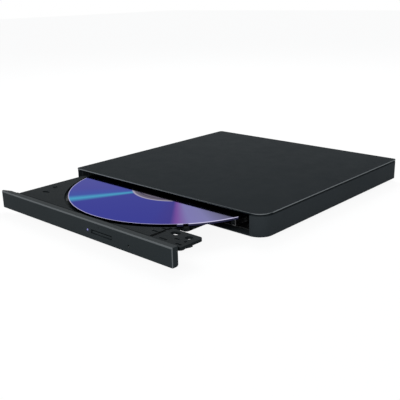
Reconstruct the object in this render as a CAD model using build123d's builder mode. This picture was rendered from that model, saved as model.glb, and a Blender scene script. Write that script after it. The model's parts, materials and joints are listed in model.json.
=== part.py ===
from build123d import *
import os
from math import cos, radians, sin

os.makedirs("parts", exist_ok=True)

# A slim external disc drive with a sliding tray, in millimetres.
# X runs to the right, Y to the back and Z up. The origin is on the table, in the middle of the
# outline with the tray drawn out as far as it stands at rest.

# Disc and the room round it, which set the plan of everything else
disc_radius = 60.0
well_gap = 1.5
side_room = 10.5
side_land = 2.5
front_room = 5.55
rear_land = 1.35
well_radius = disc_radius + well_gap
disc_from_front = well_radius + front_room

# Housing
case_width = 2 * (well_radius + side_room)
case_height = 12.0
foot_height = 2.0
foot_radius = 4.5
foot_edge = 14.0
case_wall = 1.2
thin_wall = 0.65
floor_thickness = 0.75
cover_thickness = 0.9
cover_seam = 0.1
cover_chamfer = 0.35
big_corner = 8.0
small_corner = 1.1
edge_break = 0.3
post_width = 8.1
post_depth = 3.6
lip_gap = 0.1
lip_thickness = 0.6
lip_height = 2.0
lip_front = 9.0
boss_radius = 2.2
boss_edge = 20.0
boss_back = 3.9
boss_split = 5.15

# Sheet-metal drive body inside the housing
sheet = 0.5
pad_height = 0.55
pad_width = 4.0
pad_edge = 6.0
pad_front = 9.0
pad_back = 11.5
side_space_left = 1.5
side_space_right = 1.3
chassis_corner = 6.0
lid_sheet = 0.4
lid_gap = 0.15
lid_front = 5.0
lid_flange = 5.5
ear_side = 30.0
ear_width = 8.0
ear_reach = 4.3
shelf_front = 15.5
shelf_height = 5.0
wall_from_front = 7.0
back_room = 6.5

# Sliding rails
running_gap = 0.3
tongue_width = 1.6
tongue_height = 1.8
tongue_front = 24.0
rail_centre = 2.9
rail_front = 27.0
rail_back = 14.0
guide_lip = 0.6
guide_front = 16.5
guide_back = 3.0
left_guide_front = 7.0
left_rail_room = 6.5

# Tray
tray_out = 52.5
tray_height = 7.2
tray_plate = 1.0
right_cut = 11.4
tray_wall = 0.9
skirt_clearance = 1.2
well_rim = 1.2
rib_lift = 0.7
rib_front = 22.0
rib_back = 112.0
window_fit = 0.1
well_depth = 1.5
well_base = 0.8
ear_length = 18.6
ear_back = 20.5
ear_corner = 2.0
notch_width = 2.5
notch_round = 1.1
body_corner = 3.5
band_height = 0.6
band_back = 5.3
groove_front = 5.8
groove_width = 0.8
groove_depth = 0.35
front_wall = 1.0
front_wall_drop = 6.5

# Front panel
bezel_gap = 0.2
bezel_depth = 3.4
bezel_drop = 0.93
bezel_height = 9.42
bezel_skin = 1.4
bezel_rim = 1.2
bezel_edge = 0.4
bezel_end_cut = 1.0
bezel_slant_width = 5.1
bezel_slant_depth = 1.9
hook_width = 6.0
hook_reach = 2.2
hook_height = 0.8

# Eject button, lamp and emergency hole
button_centre = 15.6
button_width = 17.4
button_low = 3.75
button_height = 2.55
button_gap = 0.2
button_flange = 0.5
button_flange_thickness = 0.6
lamp_x = 5.85
lamp_height = 5.3
lamp_radius = 0.5
pin_hole_x = 35.4
pin_hole_height = 4.06
pin_hole_radius = 0.55

# Disc and spindle
disc_thickness = 1.2
disc_bore = 7.5
disc_lift = 0.97
hub_radius = 7.35
hub_height = 1.83
flange_radius = 13.5
flange_thickness = 0.67
bell_radius = 10.5
bell_wall = 0.7
bell_low = 2.0
shaft_radius = 1.2
shaft_gap = 0.05

# Pickup carriage, in a frame that runs from the spindle towards the front left corner
pickup_rest = 40.0
pickup_inward = 12.0
pickup_outward = 9.0
pickup_half = 10.0
base_plate_lift = 1.0
base_plate_thickness = 0.6
rod_side = 13.0
rod_radius = 1.0
rod_lift = 1.6
rod_start = 9.4
rod_end = 69.3
rod_bore_gap = 0.05
screw_side = 19.5
screw_radius = 1.0
screw_end = 57.5
journal_radius = 0.6
journal_gap = 0.06
motor_radius = 1.65
motor_start = -15.5
motor_end = -2.0
lens_half = 2.2
window_hole = 11.2
window_sheet = 0.4

# Board, sockets and ribbon
board_lift = 1.2
board_thickness = 1.0
board_width = 10.1
board_gap = 0.4
board_front = 24.0
board_back = 1.5
usb_width = 7.7
usb_height = 3.9
usb_length = 9.2
usb_shell = 0.35
ribbon_width = 12.0
ribbon_edge = 7.6
ribbon_thickness = 0.15
ribbon_anchor = 40.0
ribbon_socket = 17.9
ribbon_fold = 29.25

# Latch
latch_edge = 3.1
latch_from_front = 8.0
latch_pin_radius = 1.0
latch_bore_gap = 0.06
latch_hub = 2.2
lever_lift = 1.1
lever_thickness = 1.6
post_reach = 3.5
post_from_front = 11.0
post_radius = 1.0
latch_release = 25.0

# Lengths, planes and levels that follow from the sizes above
lever_bottom = foot_height + floor_thickness + pad_height + sheet + lever_lift
tray_back = disc_from_front + well_radius + rear_land
chassis_front = bezel_depth + 2 * running_gap
chassis_back = tray_back + 1.1
case_depth = chassis_back + back_room
bezel_pocket = chassis_front + 0.2
notch_back = ear_back + notch_width
case_front = (tray_out - case_depth) / 2
case_back = case_front + case_depth
case_middle = (case_front + case_back) / 2
tray_front = case_front - tray_out
half_width = case_width / 2
case_bottom = foot_height
case_top = foot_height + case_height
cover_bottom = case_top - cover_thickness
wall_top = cover_bottom - cover_seam
floor_top = case_bottom + floor_thickness
chassis_bottom = floor_top + pad_height
chassis_floor = chassis_bottom + sheet
lid_top = cover_bottom - lid_gap
lid_bottom = lid_top - lid_sheet
chassis_left = -half_width + case_wall + side_space_left
chassis_right = half_width - case_wall - side_space_right
shelf_bottom = chassis_floor + shelf_height
shelf_back = chassis_back - 3.5
opening_right = half_width - post_width
opening_left = -half_width + thin_wall
bezel_left = opening_left + bezel_gap
bezel_right = opening_right - bezel_gap
ear_right = opening_right - running_gap
notch_end = ear_right - ear_length
tray_left = chassis_left + left_rail_room
tray_right = opening_right - right_cut
disc_x = tray_left + side_land + well_radius
board_right = chassis_right - sheet - board_gap
board_left = board_right - board_width
usb_x = (board_left + board_right) / 2
rail_axis = chassis_floor + rail_centre
rail_half = tongue_height / 2 + running_gap + sheet
tray_top = chassis_floor + tray_height
tray_under = tray_top - tray_plate
well_floor = tray_top - well_depth
well_under = well_floor - well_base
skirt_bottom = chassis_floor + skirt_clearance
plate_bottom = chassis_floor + base_plate_lift
plate_top = plate_bottom + base_plate_thickness
rod_axis = plate_top + rod_lift
disc_bottom = well_floor + disc_lift
disc_top = disc_bottom + disc_thickness
flange_bottom = disc_bottom - flange_thickness
board_bottom = chassis_floor + board_lift
board_top = board_bottom + board_thickness
bezel_bottom = case_bottom + bezel_drop


def case_y(depth):
    """Y of a fixed piece that lies this far behind the case front."""
    return case_front + depth


def tray_y(depth):
    """Y of a piece on the tray, counted from the front of the panel."""
    return tray_front + depth


def rail_y(depth):
    """Y on a rail, which moves half as far as the tray."""
    return case_front - tray_out / 2 + depth


def level(height):
    return Plane.XY.offset(height)


def cross_section(y):
    """Upright plane across the drive, with X to the right and Z up."""
    return Plane(origin=(0, y, 0), x_dir=(1, 0, 0), z_dir=(0, -1, 0))


def carriage_plane(height):
    """Level plane whose own X runs from the spindle to the front left."""
    return Plane(origin=(disc_x, disc_y, height), x_dir=(-1, -1, 0), z_dir=(0, 0, 1))


def block(plane, x_range, y_range, height, mode=Mode.ADD):
    """Rectangular wall, rib or cut-out between two pairs of edges."""
    with BuildSketch(plane) as profile:
        with Locations((sum(x_range) / 2, sum(y_range) / 2)):
            Rectangle(x_range[1] - x_range[0], y_range[1] - y_range[0])
    extrude(profile.sketch, amount=height, mode=mode)


def pegs(plane, points, radius, height, mode=Mode.ADD, sides=0):
    """Pegs or holes at several points, round or, where nobody sees them, with flat sides."""
    with BuildSketch(plane) as profile:
        with Locations(*points):
            if sides:
                RegularPolygon(radius, sides)
            else:
                Circle(radius)
    extrude(profile.sketch, amount=height, mode=mode)


def case_outline(inset):
    """Plan of the housing: a large corner at the front right and three smaller ones."""
    with Locations((0, case_middle)):
        Rectangle(case_width - 2 * inset, case_depth - 2 * inset)
    right = half_width - inset
    front = case_front + inset
    back = case_back - inset
    fillet(vertices().sort_by_distance((right, front, 0))[0], big_corner - inset)
    for x, y in ((-right, front), (-right, back), (right, back)):
        fillet(vertices().sort_by_distance((x, y, 0))[0], max(small_corner - inset, 0.2))


def channel(outer, web, lip, z_low, z_high, z_edge_low, z_edge_high):
    """C section with its web between outer and web and its two arms reaching to lip."""
    Polygon(
        (outer, z_edge_low), (lip, z_edge_low), (lip, z_low), (web, z_low),
        (web, z_high), (lip, z_high), (lip, z_edge_high), (outer, z_edge_high),
        align=None,
    )


disc_y = tray_y(disc_from_front)
boss_y = case_back - boss_back
boss_points = [(side * (half_width - boss_edge), boss_y) for side in (-1, 1)]
foot_points = [
    (side * (half_width - foot_edge), y)
    for side in (-1, 1)
    for y in (case_front + foot_edge, case_back - foot_edge)
]
ear_y = case_y(chassis_back + ear_reach / 2)
ear_points = [(-ear_side, ear_y), (ear_side, ear_y)]
pad_points = [
    (side * (half_width - pad_edge), y)
    for side in (-1, 1)
    for y in (case_front + pad_front, case_back - pad_back)
]

# Housing: the pieces
boss_top = floor_top + boss_split
screw_hole = 1.1
pilot_hole = 0.85
shank_radius = 0.8
head_radius = 1.8
head_height = 1.0
head_sink = 1.3

with BuildPart() as base_case:
    with BuildSketch(level(case_bottom)):
        case_outline(0)
    extrude(amount=wall_top - case_bottom)
    chamfer(faces().sort_by(Axis.Z)[0].edges(), edge_break)
    with BuildSketch(level(floor_top)):
        case_outline(case_wall)
        with Locations(((opening_right + half_width) / 2, case_front + post_depth / 2)):
            Rectangle(post_width, post_depth, mode=Mode.SUBTRACT)
        with Locations(((opening_left + opening_right) / 2, case_front + bezel_pocket / 2)):
            Rectangle(opening_right - opening_left, bezel_pocket)
    extrude(amount=wall_top - floor_top, mode=Mode.SUBTRACT)
    pegs(level(floor_top), boss_points, boss_radius, boss_split, sides=8)
    for x, y in pad_points + ear_points:
        block(
            level(floor_top),
            (x - pad_width / 2, x + pad_width / 2),
            (y - pad_width / 2, y + pad_width / 2),
            pad_height,
        )
    pegs(level(case_bottom), boss_points, head_radius + 0.2, head_sink, Mode.SUBTRACT)
    pegs(level(case_bottom), boss_points, screw_hole, boss_top - case_bottom, Mode.SUBTRACT, 6)
    pegs(level(case_bottom + edge_break), ear_points, pilot_hole, chassis_bottom, Mode.SUBTRACT, 6)
    block(
        level(board_top - 0.15),
        (usb_x - usb_width / 2 - 0.15, usb_x + usb_width / 2 + 0.15),
        (case_back - 2 * case_wall, case_back + 1),
        usb_height + 0.3,
        Mode.SUBTRACT,
    )
base_case.part.label = "base_case"
export_step(base_case.part, "parts/base_case.step")

with BuildPart() as top_cover:
    with BuildSketch(level(cover_bottom)):
        case_outline(0)
    extrude(amount=cover_thickness)
    chamfer(faces().sort_by(Axis.Z)[-1].edges(), cover_chamfer)
    with BuildSketch(level(cover_bottom - lip_height)):
        case_outline(case_wall + lip_gap)
        case_inner = case_wall + lip_gap + lip_thickness
        with Locations((0, case_middle)):
            Rectangle(case_width - 2 * case_inner, case_depth - 2 * case_inner, mode=Mode.SUBTRACT)
        with Locations((0, case_front + lip_front / 2)):
            Rectangle(case_width, lip_front, mode=Mode.SUBTRACT)
    extrude(amount=lip_height)
    pegs(level(boss_top), boss_points, boss_radius, cover_bottom - boss_top, sides=8)
    pegs(level(boss_top), boss_points, pilot_hole, cover_bottom - boss_top - 1, Mode.SUBTRACT, 6)
top_cover.part.label = "top_cover"
export_step(top_cover.part, "parts/top_cover.step")

foot_bevel = 0.4
with BuildPart() as rubber_feet:
    pegs(level(0), foot_points, foot_radius, foot_height)
    chamfer(faces().group_by(Axis.Z)[0].edges(), foot_bevel)
rubber_feet.part.label = "rubber_feet"
export_step(rubber_feet.part, "parts/rubber_feet.step")

seat = case_bottom + head_sink
with BuildPart() as case_screws:
    pegs(level(seat - head_height), boss_points, head_radius, head_height, sides=12)
    pegs(level(seat), boss_points, shank_radius, boss_top - seat + 3.5, sides=6)
    with BuildSketch(level(seat - head_height)):
        for x, y in boss_points:
            with Locations((x, y)):
                Rectangle(1.8, 0.4)
                Rectangle(0.4, 1.8)
    extrude(amount=0.5, mode=Mode.SUBTRACT)
case_screws.part.label = "case_screws"
export_step(case_screws.part, "parts/case_screws.step")

# Drive body: the pieces
wall_inner_right = chassis_right - sheet
guide_web_right = tray_right + tongue_width + running_gap + sheet + running_gap
step_left = guide_web_right + 2.1
board_post_points = [
    ((board_left + board_right) / 2, case_y(30.0)),
    ((board_left + board_right) / 2, case_y(108.0)),
]
ribbon_slot = (case_y(ribbon_anchor - 5.0), case_y(ribbon_anchor + 5.0))

with BuildPart() as drive_chassis:
    with BuildSketch(level(chassis_bottom)):
        with Locations(
            ((chassis_left + chassis_right) / 2, case_y((chassis_front + chassis_back) / 2))
        ):
            Rectangle(chassis_right - chassis_left, chassis_back - chassis_front)
        corner = vertices().sort_by_distance((chassis_right, case_y(chassis_front), 0))[0]
        fillet(corner, chassis_corner)
        with Locations(*ear_points):
            Rectangle(ear_width, ear_reach + 0.4)
    extrude(amount=sheet)
    block(
        level(chassis_floor),
        (chassis_left, chassis_left + sheet),
        (case_y(wall_from_front), case_y(chassis_back)),
        lid_bottom - chassis_floor,
    )
    block(
        level(chassis_floor),
        (chassis_left, step_left),
        (case_y(chassis_back) - sheet, case_y(chassis_back)),
        lid_bottom - chassis_floor,
    )
    block(
        level(chassis_floor),
        (wall_inner_right, chassis_right),
        (case_y(shelf_front), case_y(shelf_back)),
        shelf_bottom + sheet - chassis_floor,
    )
    block(
        level(chassis_floor),
        (step_left, step_left + sheet),
        (case_y(shelf_front), case_y(shelf_back)),
        shelf_bottom + sheet - chassis_floor,
    )
    block(
        level(shelf_bottom),
        (step_left, chassis_right),
        (case_y(shelf_front), case_y(shelf_back)),
        sheet,
    )
    block(
        level(chassis_floor),
        (step_left, chassis_right),
        (case_y(shelf_front), case_y(shelf_front) + sheet),
        shelf_height,
    )
    block(
        level(chassis_floor), (step_left - 1, step_left + 1), ribbon_slot, 3.2, Mode.SUBTRACT
    )
    pegs(level(chassis_floor), board_post_points, 1.6, board_lift, sides=6)
    pegs(level(chassis_bottom), board_post_points, pilot_hole, board_lift + sheet, Mode.SUBTRACT, 6)
    pegs(level(chassis_bottom), ear_points, screw_hole, sheet, Mode.SUBTRACT, 6)
    with BuildSketch(level(chassis_bottom)):
        with Locations((-20.0, case_y(70.0)), (20.0, case_y(70.0))):
            Rectangle(6.0, 26.0)
    extrude(amount=sheet, mode=Mode.SUBTRACT)
drive_chassis.part.label = "drive_chassis"
export_step(drive_chassis.part, "parts/drive_chassis.step")

with BuildPart() as drive_lid:
    with BuildSketch(level(lid_bottom)):
        with Locations(
            ((chassis_left + chassis_right) / 2, case_y((lid_front + chassis_back) / 2))
        ):
            Rectangle(
                chassis_right - chassis_left + 2 * lid_sheet, chassis_back - lid_front
            )
        corner = vertices().sort_by_distance((chassis_right, case_y(lid_front), 0))[0]
        fillet(corner, chassis_corner)
        with Locations((-8.0, case_y(lid_front))):
            Rectangle(90.0, 3.0, mode=Mode.SUBTRACT)
    extrude(amount=lid_sheet)
    for inner, outer, front, drop in (
        (chassis_left, chassis_left - lid_sheet, wall_from_front + 2, lid_flange),
        (chassis_right, chassis_right + lid_sheet, shelf_front, lid_bottom - shelf_bottom + 2),
    ):
        block(
            level(lid_bottom - drop),
            (min(inner, outer), max(inner, outer)),
            (case_y(front), case_y(shelf_back)),
            drop,
        )
drive_lid.part.label = "drive_lid"
export_step(drive_lid.part, "parts/drive_lid.step")

with BuildPart() as drive_screws:
    pegs(level(chassis_floor), ear_points, head_radius, 0.6, sides=12)
    pegs(
        level(case_bottom + 0.5), ear_points, shank_radius, chassis_floor - case_bottom - 0.5, sides=6
    )
drive_screws.part.label = "drive_screws"
export_step(drive_screws.part, "parts/drive_screws.step")

# Plastic guides, steel rails between guide and tray, one pair on each side
guide_low = rail_axis - rail_half - running_gap
guide_high = rail_axis + rail_half + running_gap
tongue_tip_left = tray_left - tongue_width
tongue_tip_right = tray_right + tongue_width
rail_web_left = tongue_tip_left - running_gap
rail_web_right = tongue_tip_right + running_gap

with BuildPart() as left_guide:
    with BuildSketch(cross_section(case_y(chassis_back - guide_back))):
        channel(
            chassis_left + sheet,
            rail_web_left - sheet - running_gap,
            tray_left - 2 * running_gap,
            guide_low,
            guide_high,
            chassis_floor,
            guide_high + guide_lip,
        )
    extrude(amount=chassis_back - guide_back - left_guide_front)
left_guide.part.label = "left_guide"
export_step(left_guide.part, "parts/left_guide.step")

with BuildPart() as right_guide:
    with BuildSketch(cross_section(case_y(chassis_back - guide_back))):
        channel(
            step_left,
            guide_web_right,
            tray_right + 2 * running_gap,
            guide_low,
            guide_high,
            chassis_floor,
            guide_high + guide_lip,
        )
    extrude(amount=chassis_back - guide_back - guide_front)
    block(
        level(chassis_floor), (tray_right, step_left + 1), ribbon_slot, 0.4, Mode.SUBTRACT
    )
right_guide.part.label = "right_guide"
export_step(right_guide.part, "parts/right_guide.step")

with BuildPart() as left_rail:
    with BuildSketch(cross_section(rail_y(chassis_back - rail_back))):
        channel(
            rail_web_left - sheet,
            rail_web_left,
            tray_left - running_gap,
            rail_axis - rail_half + sheet,
            rail_axis + rail_half - sheet,
            rail_axis - rail_half,
            rail_axis + rail_half,
        )
    extrude(amount=chassis_back - rail_back - rail_front)
left_rail.part.label = "left_rail"
export_step(left_rail.part, "parts/left_rail.step")

with BuildPart() as right_rail:
    with BuildSketch(cross_section(rail_y(chassis_back - rail_back))):
        channel(
            rail_web_right + sheet,
            rail_web_right,
            tray_right + running_gap,
            rail_axis - rail_half + sheet,
            rail_axis + rail_half - sheet,
            rail_axis - rail_half,
            rail_axis + rail_half,
        )
    extrude(amount=chassis_back - rail_back - rail_front)
right_rail.part.label = "right_rail"
export_step(right_rail.part, "parts/right_rail.step")

# Board and sockets: the pieces
with BuildPart() as main_board:
    block(
        level(board_bottom),
        (board_left, board_right),
        (case_y(board_front), case_back - board_back),
        board_thickness,
    )
    pegs(level(board_bottom), board_post_points, screw_hole, board_thickness, Mode.SUBTRACT, 6)
main_board.part.label = "main_board"
export_step(main_board.part, "parts/main_board.step")

with BuildPart() as board_screws:
    pegs(level(board_top), board_post_points, head_radius, 0.8, sides=12)
    pegs(
        level(chassis_floor + 0.1), board_post_points, shank_radius,
        board_top - chassis_floor - 0.1, sides=6,
    )
board_screws.part.label = "board_screws"
export_step(board_screws.part, "parts/board_screws.step")

chip_sizes = [
    (-0.5, 56.0, 7.0, 7.0, 1.2), (0.0, 70.0, 8.0, 8.0, 1.4), (-2.0, 84.0, 4.0, 5.0, 1.0),
    (2.5, 84.0, 3.0, 4.0, 1.8), (-1.5, 95.0, 3.2, 1.8, 0.8), (2.5, 95.0, 2.0, 1.2, 0.6),
    (-1.5, 100.0, 2.0, 1.2, 0.6), (2.5, 101.0, 3.2, 2.5, 1.6), (-1.0, 118.0, 5.0, 3.4, 1.2),
]
with BuildPart() as board_chips:
    for across, depth, width, length, height in chip_sizes:
        x = usb_x + across
        y = case_y(depth)
        block(
            level(board_top), (x - width / 2, x + width / 2), (y - length / 2, y + length / 2), height
        )
board_chips.part.label = "board_chips"
export_step(board_chips.part, "parts/board_chips.step")

usb_left = usb_x - usb_width / 2
with BuildPart() as usb_socket:
    with BuildSketch(cross_section(case_back)):
        with BuildLine():
            Polyline(
                (usb_left, board_top + usb_height), (usb_left, board_top + 1.6),
                (usb_left + 0.9, board_top), (usb_left + usb_width - 0.9, board_top),
                (usb_left + usb_width, board_top + 1.6),
                (usb_left + usb_width, board_top + usb_height), close=True,
            )
        make_face()
    extrude(amount=usb_length)
    with BuildSketch(cross_section(case_back)):
        with BuildLine():
            Polyline(
                (usb_left + usb_shell, board_top + usb_height - usb_shell),
                (usb_left + usb_shell, board_top + 1.75),
                (usb_left + 0.9 + usb_shell, board_top + usb_shell),
                (usb_left + usb_width - 0.9 - usb_shell, board_top + usb_shell),
                (usb_left + usb_width - usb_shell, board_top + 1.75),
                (usb_left + usb_width - usb_shell, board_top + usb_height - usb_shell), close=True,
            )
        make_face()
    extrude(amount=usb_length - 1.5, mode=Mode.SUBTRACT)
    block(
        level(board_top + 1.7),
        (usb_x - 2.3, usb_x + 2.3),
        (case_back - usb_length + 1, case_back - 1.2),
        0.7,
    )
usb_socket.part.label = "usb_socket"
export_step(usb_socket.part, "parts/usb_socket.step")

socket_right = board_left + 4.0
with BuildPart() as board_connector:
    block(
        level(board_top),
        (board_left, socket_right),
        (case_y(ribbon_anchor - 4.6), case_y(ribbon_anchor + 4.6)),
        1.6,
    )
    block(
        level(board_top + 0.5),
        (board_left, board_left + 3.0),
        (case_y(ribbon_anchor - 4.1), case_y(ribbon_anchor + 4.1)),
        0.5,
        Mode.SUBTRACT,
    )
board_connector.part.label = "board_connector"
export_step(board_connector.part, "parts/board_connector.step")

# Flat ribbon: it leaves the board socket, lies on the chassis floor, folds over at the back and
# runs forward under the tray to the tray's socket
ribbon_right = tray_right - tray_wall - ribbon_edge
ribbon_left = ribbon_right - ribbon_width
ribbon_top = well_under
ribbon_bend = (ribbon_top - chassis_floor) / 2
ribbon_end = tray_y(tray_back - ribbon_socket)
ribbon_y = case_y(chassis_back - ribbon_fold) - ribbon_bend
with BuildPart() as flex_cable:
    with BuildSketch(Plane(origin=(ribbon_left, 0, 0), x_dir=(0, 1, 0), z_dir=(1, 0, 0))):
        with BuildLine():
            Polyline((ribbon_y, chassis_floor), (case_y(ribbon_anchor - 4), chassis_floor),
                     (case_y(ribbon_anchor - 4), chassis_floor + ribbon_thickness),
                     (ribbon_y, chassis_floor + ribbon_thickness))
            ThreePointArc((ribbon_y, chassis_floor + ribbon_thickness),
                          (ribbon_y + ribbon_bend - ribbon_thickness, chassis_floor + ribbon_bend),
                          (ribbon_y, ribbon_top - ribbon_thickness))
            Polyline((ribbon_y, ribbon_top - ribbon_thickness),
                     (ribbon_end, ribbon_top - ribbon_thickness),
                     (ribbon_end, ribbon_top), (ribbon_y, ribbon_top))
            ThreePointArc((ribbon_y, ribbon_top),
                          (ribbon_y + ribbon_bend, chassis_floor + ribbon_bend),
                          (ribbon_y, chassis_floor))
        make_face()
    extrude(amount=ribbon_width)
    climb = board_top + 0.6
    with BuildSketch(cross_section(case_y(ribbon_anchor + 4))):
        with BuildLine():
            Polyline(
                (ribbon_right - 1, chassis_floor), (step_left + 0.2, chassis_floor),
                (board_left - 0.1, climb), (board_left + 2.5, climb),
                (board_left + 2.5, climb + ribbon_thickness),
                (board_left - 0.25, climb + ribbon_thickness),
                (step_left + 0.05, chassis_floor + ribbon_thickness),
                (ribbon_right - 1, chassis_floor + ribbon_thickness), close=True,
            )
        make_face()
    extrude(amount=8.0)
flex_cable.part.label = "flex_cable"
export_step(flex_cable.part, "parts/flex_cable.step")

with BuildPart() as tray_connector:
    block(
        level(well_under - 1.4),
        (ribbon_left - 0.8, ribbon_right + 0.8),
        (ribbon_end - 3.0, ribbon_end),
        1.4,
    )
tray_connector.part.label = "tray_connector"
export_step(tray_connector.part, "parts/tray_connector.step")

# Tray: the pieces
slot_width = 1.1
# slots of the ear: distance from its right end, depth and length
ear_slots = [
    (12.65, 15.3, 4.5), (3.95, 15.1, 3.7), (3.4, 7.5, 3.6),
    (22.4, 17.4, 2.8), (23.3, 12.5, 4.1), (18.0, 16.4, 4.0),
]
carriage_bosses = [(-12.5, 16.0), (-12.5, -14.0), (48.0, 20.0), (48.0, -23.2)]
boss_size = 1.8
cutout_half = 9.0
cutout_round = 14.0
recess_margin = 1.5
end_margin = 0.9
window_reach = well_radius - 0.3
hook_points = (-46.0, -22.0, 48.0)
hook_low = tray_under - 0.2 - hook_height
rib_x = tray_right - 24.4
switch_x = button_centre - 0.7
latch_x = ear_right - latch_edge


def floor_window(half, round_radius, reach):
    """Keyhole outline round the spindle and along the pickup's path."""
    Circle(round_radius)
    with Locations((reach / 2, 0)):
        Rectangle(reach, 2 * half)
    Circle(reach, mode=Mode.INTERSECT)


with BuildPart() as tray:
    with BuildSketch(level(tray_under)):
        with Locations(
            ((tray_left + tray_right) / 2, (tray_y(bezel_depth) + tray_y(tray_back)) / 2)
        ):
            Rectangle(tray_right - tray_left, tray_back - bezel_depth)
        with Locations(((notch_end + ear_right) / 2, (tray_y(bezel_depth) + tray_y(ear_back)) / 2)):
            Rectangle(ear_right - notch_end, ear_back - bezel_depth)
        with Locations(((notch_end + ear_right) / 2, (tray_y(ear_back) + tray_y(notch_back)) / 2)):
            Rectangle(ear_right - notch_end, notch_back - ear_back, mode=Mode.SUBTRACT)
        for x, depth, radius in (
            (ear_right, ear_back, ear_corner),
            (tray_right, notch_back, body_corner),
            (notch_end, ear_back, notch_round),
            (notch_end, notch_back, notch_round),
        ):
            fillet(vertices().sort_by_distance((x, tray_y(depth), 0))[0], radius)
    extrude(amount=tray_plate)
    # ring wall and floor of the well, cut off by the straight right side
    with BuildSketch(level(well_under)):
        with Locations((disc_x, disc_y)):
            Circle(well_radius + well_rim)
        with Locations(((tray_left + tray_right) / 2, disc_y)):
            Rectangle(tray_right - tray_left, 2 * tray_back, mode=Mode.INTERSECT)
        with Locations(((notch_end + ear_right) / 2, (tray_y(ear_back) + tray_y(notch_back)) / 2)):
            Rectangle(ear_right - notch_end, notch_back - ear_back, mode=Mode.SUBTRACT)
    extrude(amount=tray_under - well_under)
    # side skirts with the sliding tongues
    for x, inner, tip, front in (
        (tray_left, tray_left + tray_wall, tongue_tip_left, bezel_depth),
        (tray_right, tray_right - tray_wall, tongue_tip_right, tongue_front),
    ):
        block(
            level(skirt_bottom),
            (min(x, inner), max(x, inner)),
            (tray_y(front), tray_y(tray_back)),
            tray_under - skirt_bottom,
        )
        block(
            level(rail_axis - tongue_height / 2),
            (min(x, tip), max(x, tip)),
            (tray_y(tongue_front), tray_y(tray_back)),
            tongue_height,
        )
    block(
        level(skirt_bottom),
        (tray_left, tray_right),
        (tray_y(tray_back) - tray_wall, tray_y(tray_back)),
        tray_under - skirt_bottom,
    )
    block(
        level(skirt_bottom),
        (ribbon_left - 0.5, ribbon_left + ribbon_width + 0.5),
        (tray_y(tray_back) - tray_wall, tray_y(tray_back)),
        well_under - skirt_bottom,
        Mode.SUBTRACT,
    )
    block(
        level(tray_top - front_wall_drop),
        (tray_left, ear_right),
        (tray_y(bezel_depth), tray_y(bezel_depth + front_wall)),
        front_wall_drop - tray_plate,
    )
    block(
        level(tray_top),
        (tray_left, ear_right),
        (tray_y(bezel_depth), tray_y(band_back)),
        band_height,
    )
    # stiffening rib beside the carriage and pegs that carry the carriage plate
    block(
        level(chassis_floor + rib_lift),
        (rib_x, rib_x + tray_wall),
        (tray_y(rib_front), tray_y(rib_back)),
        well_under - chassis_floor - rib_lift,
    )
    pegs(carriage_plane(plate_top), carriage_bosses, boss_size, well_under - plate_top, sides=8)
    pegs(carriage_plane(plate_top), carriage_bosses, 0.65, 2.2, Mode.SUBTRACT, 6)
    # the well, the keyhole through its floor and the seat of the cover plate
    with BuildSketch(level(well_floor)):
        with Locations((disc_x, disc_y)):
            Circle(well_radius)
    extrude(amount=band_height + well_depth, mode=Mode.SUBTRACT)
    with BuildSketch(carriage_plane(well_floor - window_sheet)):
        floor_window(
            cutout_half + recess_margin + window_fit,
            cutout_round + recess_margin + window_fit,
            window_reach + window_fit,
        )
    extrude(amount=window_sheet, mode=Mode.SUBTRACT)
    with BuildSketch(carriage_plane(well_under)):
        floor_window(cutout_half, cutout_round, window_reach - end_margin)
    extrude(amount=well_base, mode=Mode.SUBTRACT)
    # groove behind the panel, slots, recess and locating peg
    block(
        level(tray_top - groove_depth),
        (tray_left, ear_right),
        (tray_y(groove_front), tray_y(groove_front + groove_width)),
        groove_depth,
        Mode.SUBTRACT,
    )
    for inward, depth, length in ear_slots:
        with BuildSketch(level(tray_under)):
            with Locations((ear_right - inward, tray_y(depth))):
                SlotOverall(length, slot_width)
        extrude(amount=tray_plate, mode=Mode.SUBTRACT)
    # a shallow recess and a locating peg on the left
    with BuildSketch(level(tray_top - 0.5)):
        with Locations((tray_left + 10.4, tray_y(16.9))):
            SlotOverall(5.0, 2.4)
    extrude(amount=0.5, mode=Mode.SUBTRACT)
    pegs(level(tray_top), [(tray_left + 6.2, tray_y(25.9))], 1.2, 0.5)
    # openings of the front wall: switch, lamp, emergency hole and panel hooks
    block(
        cross_section(tray_y(bezel_depth + front_wall)),
        (switch_x - 2.2, switch_x + 2.2),
        (case_bottom + 3.4, case_bottom + 6.8),
        front_wall,
        Mode.SUBTRACT,
    )
    pegs(
        cross_section(tray_y(bezel_depth + front_wall)),
        [(lamp_x, case_bottom + lamp_height)],
        lamp_radius + 0.1,
        front_wall,
        Mode.SUBTRACT,
    )
    pegs(
        cross_section(tray_y(bezel_depth + front_wall)),
        [(pin_hole_x, case_bottom + pin_hole_height)],
        pin_hole_radius + 0.2,
        front_wall,
        Mode.SUBTRACT,
    )
    for x in hook_points:
        block(
            cross_section(tray_y(bezel_depth + front_wall)),
            (x - hook_width / 2 - 0.1, x + hook_width / 2 + 0.1),
            (hook_low - 0.1, hook_low + hook_height + 0.1),
            front_wall,
            Mode.SUBTRACT,
        )
    # pin of the latch lever under the ear
    pegs(
        level(lever_bottom - running_gap),
        [(latch_x, tray_y(latch_from_front))],
        latch_pin_radius,
        tray_under - lever_bottom + running_gap,
    )
tray.part.label = "tray"
export_step(tray.part, "parts/tray.step")

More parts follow.
